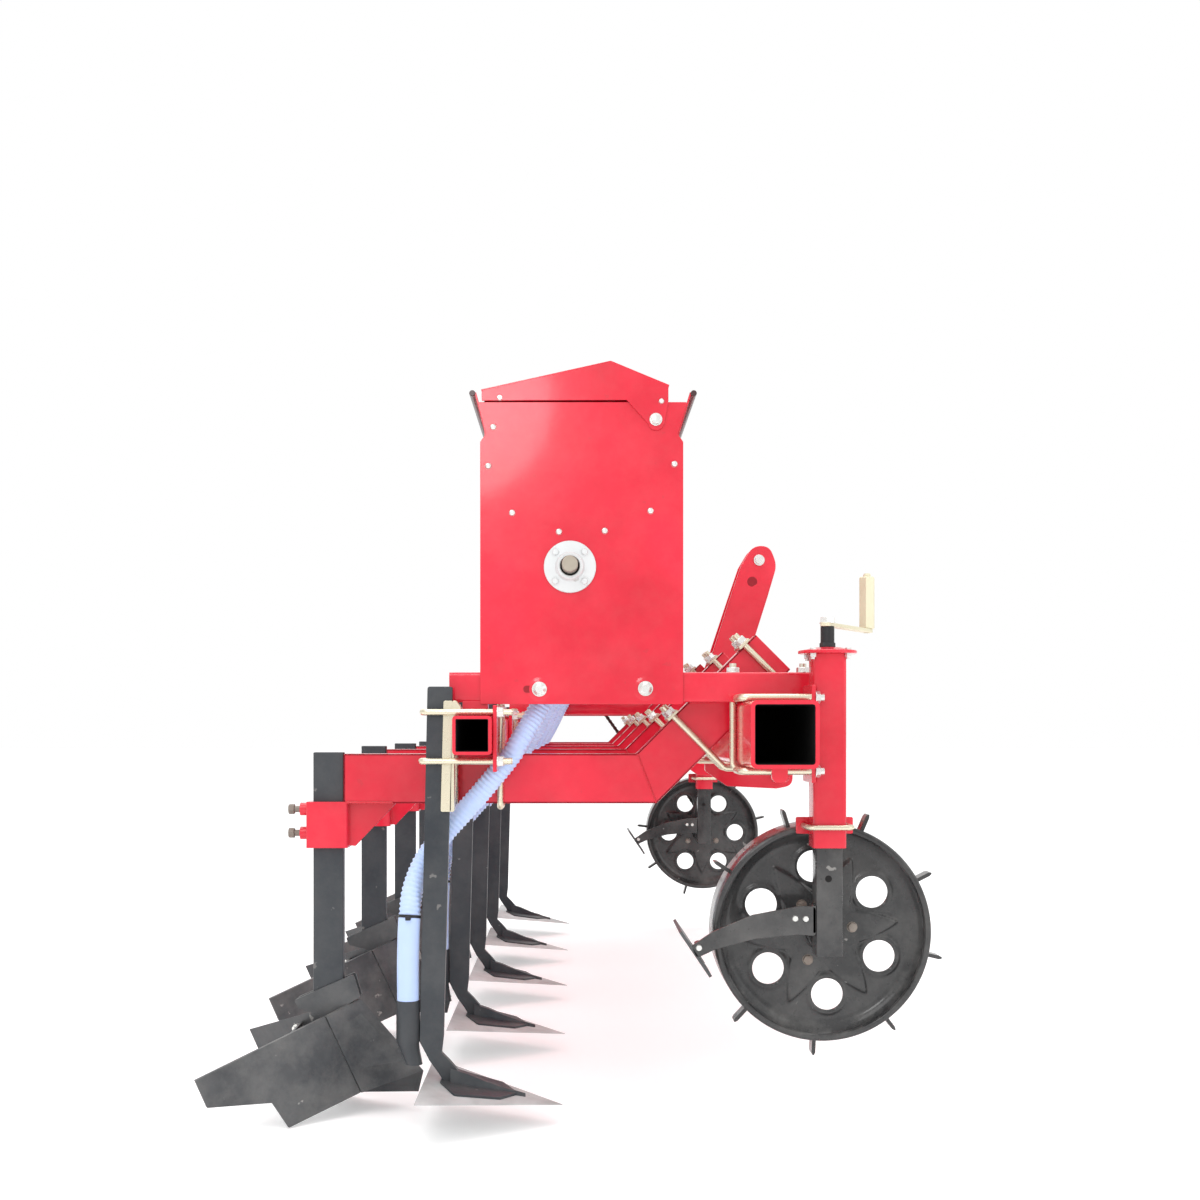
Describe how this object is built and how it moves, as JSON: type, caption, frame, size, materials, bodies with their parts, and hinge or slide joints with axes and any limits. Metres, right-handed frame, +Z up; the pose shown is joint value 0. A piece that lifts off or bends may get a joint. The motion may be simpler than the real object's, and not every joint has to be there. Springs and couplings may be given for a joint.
{
  "type": "corn planter",
  "caption": "Tractor-mounted corn planter: beam and toolbar frame with row arms, tines, ridgers, seed hoses, lidded hopper, chain feed drive and screw-set ground wheels.",
  "frame": {"origin": "centre of the outline on the ground, at the height of the lowest ridger wing corner", "axes": "+X forward towards the tractor, +Y to the left across the rows, +Z up"},
  "size_m": [1.1516, 2.425, 1.1926],
  "materials": {
    "red_enamel": "glossy machine enamel over folded and welded steel",
    "black_paint": "satin black paint, dusty",
    "dark_steel": "thin blue-black paint on forged and cut steel",
    "zinc_steel": "pale yellow zinc plate",
    "bright_steel": "light grey bare steel plate",
    "oiled_steel": "dark oiled roller chain",
    "pale_plastic": "bluish white flexible hose"
  },
  "bodies": {
    "frame": {"arm_clamp_1": "zinc_steel", "arm_clamp_2": "zinc_steel", "arm_clamp_3": "zinc_steel", "arm_clamp_4": "zinc_steel", "arm_clamp_5": "zinc_steel", "bent_arm_1": "red_enamel", "bent_arm_2": "red_enamel", "bent_arm_3": "red_enamel", "bent_arm_4": "red_enamel", "bent_arm_5": "red_enamel", "drive_chain": "oiled_steel", "feed_bearing": "zinc_steel", "front_beam": "red_enamel", "hitch_mast": "red_enamel", "hopper_body": "red_enamel", "hopper_rail_left": "red_enamel", "hopper_rail_right": "red_enamel", "leg_sleeve_left": "red_enamel", "leg_sleeve_right": "red_enamel", "rear_toolbar": "red_enamel", "ridger_1": "dark_steel", "ridger_2": "dark_steel", "ridger_3": "dark_steel", "ridger_4": "dark_steel", "ridger_5": "dark_steel", "ridger_wings_1": "dark_steel", "ridger_wings_2": "dark_steel", "ridger_wings_3": "dark_steel", "ridger_wings_4": "dark_steel", "ridger_wings_5": "dark_steel", "seed_hose_1": "pale_plastic", "seed_hose_2": "pale_plastic", "seed_hose_3": "pale_plastic", "seed_hose_4": "pale_plastic", "seed_hose_5": "pale_plastic", "sweep_1": "bright_steel", "sweep_2": "bright_steel", "sweep_3": "bright_steel", "sweep_4": "bright_steel", "sweep_5": "bright_steel", "tine_1": "dark_steel", "tine_2": "dark_steel", "tine_3": "dark_steel", "tine_4": "dark_steel", "tine_5": "dark_steel", "tine_clamp_1": "zinc_steel", "tine_clamp_2": "zinc_steel", "tine_clamp_3": "zinc_steel", "tine_clamp_4": "zinc_steel", "tine_clamp_5": "zinc_steel"},
    "lid": {"hopper_lid": "red_enamel"},
    "feed_drive": {"feed_shaft": "zinc_steel"},
    "crank_right": {"depth_crank_right": "zinc_steel"},
    "crank_left": {"depth_crank_left": "zinc_steel"},
    "leg_right": {"wheel_leg_right": "black_paint", "wheel_scraper_right": "black_paint"},
    "leg_left": {"wheel_leg_left": "black_paint", "wheel_scraper_left": "black_paint"},
    "wheel_right": {"ground_wheel_right": "black_paint"},
    "wheel_left": {"ground_wheel_left": "black_paint"}
  },
  "joints": [
    {"name": "lid_hinge", "type": "hinge", "parent": "frame", "child": "lid", "pos_m": [0.1229, -0.0625, 1.1002], "axis": [0, 1, 0], "range_deg": [0, 30]},
    {"name": "crank_right_turn", "type": "hinge", "parent": "frame", "child": "crank_right", "pos_m": [0.3822, -1.1025, 0.755], "axis": [0, 0, 1], "range_deg": [-2160, 5760]},
    {"name": "leg_right_slide", "type": "slide", "parent": "frame", "child": "leg_right", "axis": [0, 0, -1], "range_m": [-0.036, 0.096]},
    {"name": "crank_left_turn", "type": "hinge", "parent": "frame", "child": "crank_left", "pos_m": [0.3822, 0.9575, 0.755], "axis": [0, 0, 1], "range_deg": [-2160, 5760]},
    {"name": "leg_left_slide", "type": "slide", "parent": "frame", "child": "leg_left", "axis": [0, 0, -1], "range_m": [-0.036, 0.096], "deforming": ["drive_chain"]},
    {"name": "wheel_right_spin", "type": "hinge", "parent": "leg_right", "child": "wheel_right", "pos_m": [0.3822, -1.0345, 0.298], "axis": [0, 1, 0], "continuous": true},
    {"name": "wheel_left_spin", "type": "hinge", "parent": "leg_left", "child": "wheel_left", "pos_m": [0.3822, 1.0255, 0.298], "axis": [0, 1, 0], "continuous": true},
    {"name": "feed_shaft_spin", "type": "hinge", "parent": "frame", "child": "feed_drive", "pos_m": [-0.0118, -0.0625, 0.8695], "axis": [0, 1, 0], "continuous": true}
  ],
  "couplings": [
    {"joint": "leg_right_slide", "follows": "crank_right_turn", "m_per_rad": 0.00095493},
    {"joint": "leg_left_slide", "follows": "crank_left_turn", "m_per_rad": 0.00095493},
    {"joint": "feed_shaft_spin", "follows": "wheel_left_spin", "ratio": 0.75}
  ]
}
